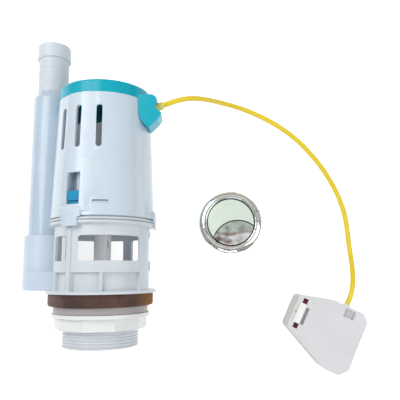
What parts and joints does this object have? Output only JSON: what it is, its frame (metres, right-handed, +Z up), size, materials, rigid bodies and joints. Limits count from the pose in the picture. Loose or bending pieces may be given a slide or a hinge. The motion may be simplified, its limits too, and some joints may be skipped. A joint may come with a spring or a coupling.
{
  "type": "dual flush valve",
  "caption": "Cistern dual flush valve with telescopic overflow tube, cap with flush cable, cable lever box and chrome push button, laid out on a bench.",
  "frame": {"origin": "on the valve's axis in the plane of the sealing gasket's underside", "axes": "+Y up the valve towards its cap, +X towards the push button and lever box, +Z up from the bench that the part lies on"},
  "size_m": [0.2912, 0.2902, 0.0871],
  "materials": {
    "white_moulding": "cool white injection-moulded polypropylene",
    "pale_moulding": "glossy pale blue-white moulding",
    "grey_white_moulding": "satin grey-white extruded tube",
    "box_moulding": "satin light grey moulding",
    "turquoise_moulding": "glossy turquoise moulding",
    "blue_moulding": "glossy blue moulding",
    "red_moulding": "dark red moulding",
    "cream_moulding": "pale yellow moulding",
    "yellow_sheath": "yellow cable sheath",
    "brown_rubber": "dark brown foam rubber",
    "black_rubber": "black rubber",
    "chrome_plate": "bright chrome plating on plastic",
    "satin_plate": "satin chrome plating on plastic",
    "steel_wire": "drawn stainless wire"
  },
  "bodies": {
    "root": {"base_basket": "white_moulding", "sealing_gasket": "brown_rubber", "upper_housing": "pale_moulding", "top_cap": "turquoise_moulding", "rocker_pin": "steel_wire", "overflow_outer_tube": "pale_moulding", "cable_ferrule": "cream_moulding", "cable_sheath": "yellow_sheath", "actuator_case": "box_moulding", "actuator_cover": "box_moulding", "lever_pin": "steel_wire", "wire_liner": "cream_moulding", "cable_bush": "white_moulding", "button_body": "chrome_plate"},
    "piston": {"piston_tube": "white_moulding", "seal_disc": "black_rubber", "seal_retainer": "white_moulding", "main_float": "white_moulding"},
    "rocker": {"lift_rocker": "white_moulding"},
    "lift_cable": {"lift_wire": "steel_wire"},
    "pull_cable": {"pull_wire": "steel_wire"},
    "full_lever": {"full_flush_lever": "red_moulding"},
    "half_lever": {"half_flush_lever": "red_moulding"},
    "half_flush": {"half_float": "white_moulding", "adjuster_rod": "white_moulding", "volume_slider": "blue_moulding"},
    "overflow_riser": {"overflow_inner_tube": "grey_white_moulding"},
    "washer": {"clamp_washer": "white_moulding"},
    "nut": {"lock_nut": "white_moulding"},
    "full_push": {"full_flush_push": "satin_plate", "full_push_spring": "steel_wire"},
    "half_push": {"half_flush_push": "chrome_plate", "half_push_spring": "steel_wire"},
    "lid_washer": {"button_washer": "black_rubber"},
    "lid_nut": {"button_nut": "white_moulding"}
  },
  "joints": [
    {"name": "full_lever_turn", "type": "hinge", "parent": "root", "child": "full_lever", "pos_m": [0.18285, -0.00668, -0.032], "axis": [-0.4305, -0.9026, 0], "range_deg": [0, 30], "stiffness_Nm_per_rad": 0.05, "springref_deg": -11.46},
    {"name": "rocker_turn", "type": "hinge", "parent": "root", "child": "rocker", "pos_m": [0.02092, 0.1514, 0.0068], "axis": [0.309, 0, -0.9511], "range_deg": [0, 30]},
    {"name": "piston_lift", "type": "slide", "parent": "root", "child": "piston", "axis": [0, 1, 0], "range_m": [0, 0.0127]},
    {"name": "lift_cable_pull", "type": "slide", "parent": "root", "child": "lift_cable", "axis": [0.9511, 0, 0.309], "range_m": [0, 0.0048]},
    {"name": "pull_cable_pull", "type": "slide", "parent": "root", "child": "pull_cable", "axis": [-0.9026, 0.4305, 0], "range_m": [0, 0.0048]},
    {"name": "half_lever_turn", "type": "hinge", "parent": "root", "child": "half_lever", "pos_m": [0.17346, -0.02636, -0.032], "axis": [-0.4305, -0.9026, 0], "range_deg": [0, 30], "stiffness_Nm_per_rad": 0.02, "springref_deg": -11.46},
    {"name": "half_flush_set", "type": "slide", "parent": "root", "child": "half_flush", "axis": [0, 1, 0], "range_m": [0, 0.0135]},
    {"name": "overflow_set", "type": "slide", "parent": "root", "child": "overflow_riser", "axis": [0, 1, 0], "range_m": [-0.031, 0.045]},
    {"name": "nut_travel", "type": "slide", "parent": "root", "child": "washer", "axis": [0, -1, 0], "range_m": [0, 0.007]},
    {"name": "nut_turn", "type": "hinge", "parent": "washer", "child": "nut", "pos_m": [0, -0.013, 0], "axis": [0, -1, 0], "range_deg": [0, 1080]},
    {"name": "full_push_press", "type": "slide", "parent": "root", "child": "full_push", "axis": [0, 0, -1], "range_m": [0, 0.0035], "stiffness_N_per_m": 300, "springref_m": -0.002, "deforming": ["full_push_spring"]},
    {"name": "half_push_press", "type": "slide", "parent": "root", "child": "half_push", "axis": [0, 0, -1], "range_m": [0, 0.0035], "stiffness_N_per_m": 300, "springref_m": -0.002, "deforming": ["half_push_spring"]},
    {"name": "lid_nut_travel", "type": "slide", "parent": "root", "child": "lid_washer", "axis": [0, 0, 1], "range_m": [0, 0.00305]},
    {"name": "lid_nut_turn", "type": "hinge", "parent": "lid_washer", "child": "lid_nut", "pos_m": [0.107, 0.068, -0.0369], "axis": [0, 0, 1], "range_deg": [0, 540]}
  ],
  "couplings": [
    {"joint": "full_lever_turn", "follows": "piston_lift", "rad_per_m": 41.15},
    {"joint": "rocker_turn", "follows": "piston_lift", "rad_per_m": 41.15},
    {"joint": "lift_cable_pull", "follows": "piston_lift", "ratio": 0.3704},
    {"joint": "pull_cable_pull", "follows": "piston_lift", "ratio": 0.3704},
    {"joint": "nut_travel", "follows": "nut_turn", "m_per_rad": 0.00036749},
    {"joint": "lid_nut_travel", "follows": "lid_nut_turn", "m_per_rad": 0.00031831}
  ]
}
